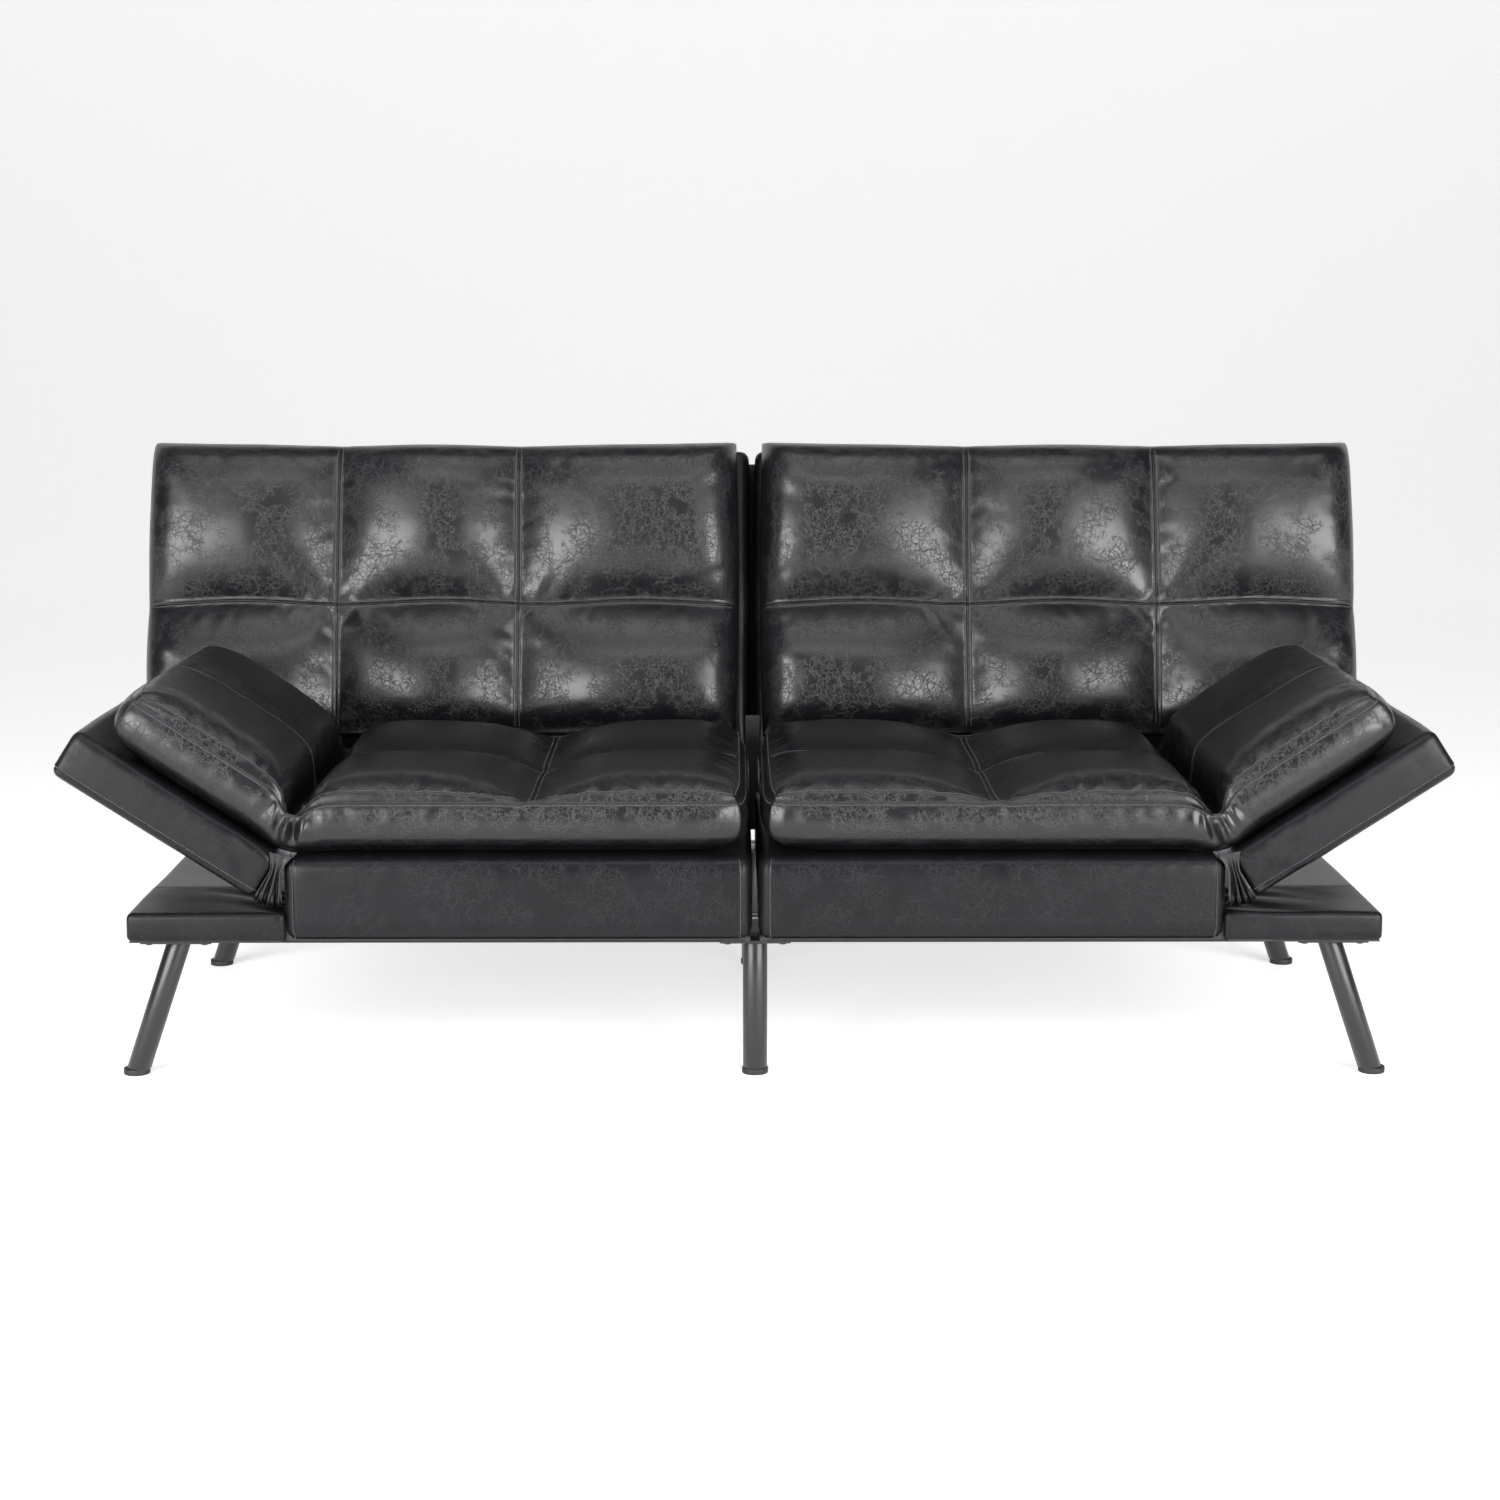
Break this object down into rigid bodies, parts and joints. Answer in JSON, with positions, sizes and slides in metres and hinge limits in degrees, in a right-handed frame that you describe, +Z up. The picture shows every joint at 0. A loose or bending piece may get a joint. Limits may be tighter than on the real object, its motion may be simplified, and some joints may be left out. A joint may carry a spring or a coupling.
{
  "type": "futon sofa bed",
  "caption": "Black faux leather sofa bed with a split back that reclines flat, folding arms, tufted cushions and splayed round legs.",
  "frame": {"origin": "on the floor under the middle of the sofa's box, as it stands with its backs up and its arms half raised", "axes": "+X along the sofa to the viewer's right from the front, +Y towards the rear, +Z up"},
  "size_m": [1.8266, 0.8126, 0.7973],
  "materials": {
    "faux_leather": "satin",
    "lining": "matte",
    "frame_paint": "satin",
    "leg_paint": "satin",
    "zinc_plate": "satin",
    "foot_plastic": "matte"
  },
  "bodies": {
    "base": {"seat_frame_right": "frame_paint", "seat_box_right": "faux_leather", "wing_deck_right": "faux_leather", "seat_cushion_right": "faux_leather", "arm_hinge_front_bracket_right": "zinc_plate", "arm_hinge_front_rivet_right": "zinc_plate", "arm_hinge_rear_bracket_right": "zinc_plate", "arm_hinge_rear_rivet_right": "zinc_plate", "back_hinge_inner_bracket_right": "zinc_plate", "back_hinge_inner_rivet_right": "zinc_plate", "back_hinge_outer_bracket_right": "zinc_plate", "back_hinge_outer_rivet_right": "zinc_plate", "seat_frame_left": "frame_paint", "seat_box_left": "faux_leather", "wing_deck_left": "faux_leather", "seat_cushion_left": "faux_leather", "arm_hinge_front_bracket_left": "zinc_plate", "arm_hinge_front_rivet_left": "zinc_plate", "arm_hinge_rear_bracket_left": "zinc_plate", "arm_hinge_rear_rivet_left": "zinc_plate", "back_hinge_inner_bracket_left": "zinc_plate", "back_hinge_inner_rivet_left": "zinc_plate", "back_hinge_outer_bracket_left": "zinc_plate", "back_hinge_outer_rivet_left": "zinc_plate", "leg_front_left": "leg_paint", "foot_cap_front_left": "foot_plastic", "leg_front_centre": "leg_paint", "foot_cap_front_centre": "foot_plastic", "leg_front_right": "leg_paint", "foot_cap_front_right": "foot_plastic", "frame_bolt_front": "zinc_plate", "leg_rear_left": "leg_paint", "foot_cap_rear_left": "foot_plastic", "leg_rear_centre": "leg_paint", "foot_cap_rear_centre": "foot_plastic", "leg_rear_right": "leg_paint", "foot_cap_rear_right": "foot_plastic", "frame_bolt_rear": "zinc_plate"},
    "arm_right": {"arm_hinge_front_leaf_right": "zinc_plate", "arm_hinge_rear_leaf_right": "zinc_plate", "arm_frame_right": "frame_paint", "arm_panel_right": "faux_leather", "arm_cushion_right": "faux_leather"},
    "back_right": {"back_hinge_inner_leaf_right": "zinc_plate", "back_hinge_outer_leaf_right": "zinc_plate", "back_frame_right": "frame_paint", "back_panel_right": "faux_leather", "back_rear_cover_right": "lining", "back_cushion_right": "faux_leather"},
    "arm_left": {"arm_hinge_front_leaf_left": "zinc_plate", "arm_hinge_rear_leaf_left": "zinc_plate", "arm_frame_left": "frame_paint", "arm_panel_left": "faux_leather", "arm_cushion_left": "faux_leather"},
    "back_left": {"back_hinge_inner_leaf_left": "zinc_plate", "back_hinge_outer_leaf_left": "zinc_plate", "back_frame_left": "frame_paint", "back_panel_left": "faux_leather", "back_rear_cover_left": "lining", "back_cushion_left": "faux_leather"}
  },
  "joints": [
    {"name": "arm_right_fold", "type": "hinge", "parent": "base", "child": "arm_right", "pos_m": [0.61, -0.1396, 0.296], "axis": [0, -1, 0], "range_deg": [-33, 42]},
    {"name": "arm_left_fold", "type": "hinge", "parent": "base", "child": "arm_left", "pos_m": [-0.61, -0.1396, 0.296], "axis": [0, 1, 0], "range_deg": [-33, 42]},
    {"name": "back_right_recline", "type": "hinge", "parent": "base", "child": "back_right", "pos_m": [0.457, 0.1749, 0.336], "axis": [1, 0, 0], "range_deg": [-74, 8]},
    {"name": "back_left_recline", "type": "hinge", "parent": "base", "child": "back_left", "pos_m": [-0.457, 0.1749, 0.336], "axis": [1, 0, 0], "range_deg": [-74, 8]}
  ]
}
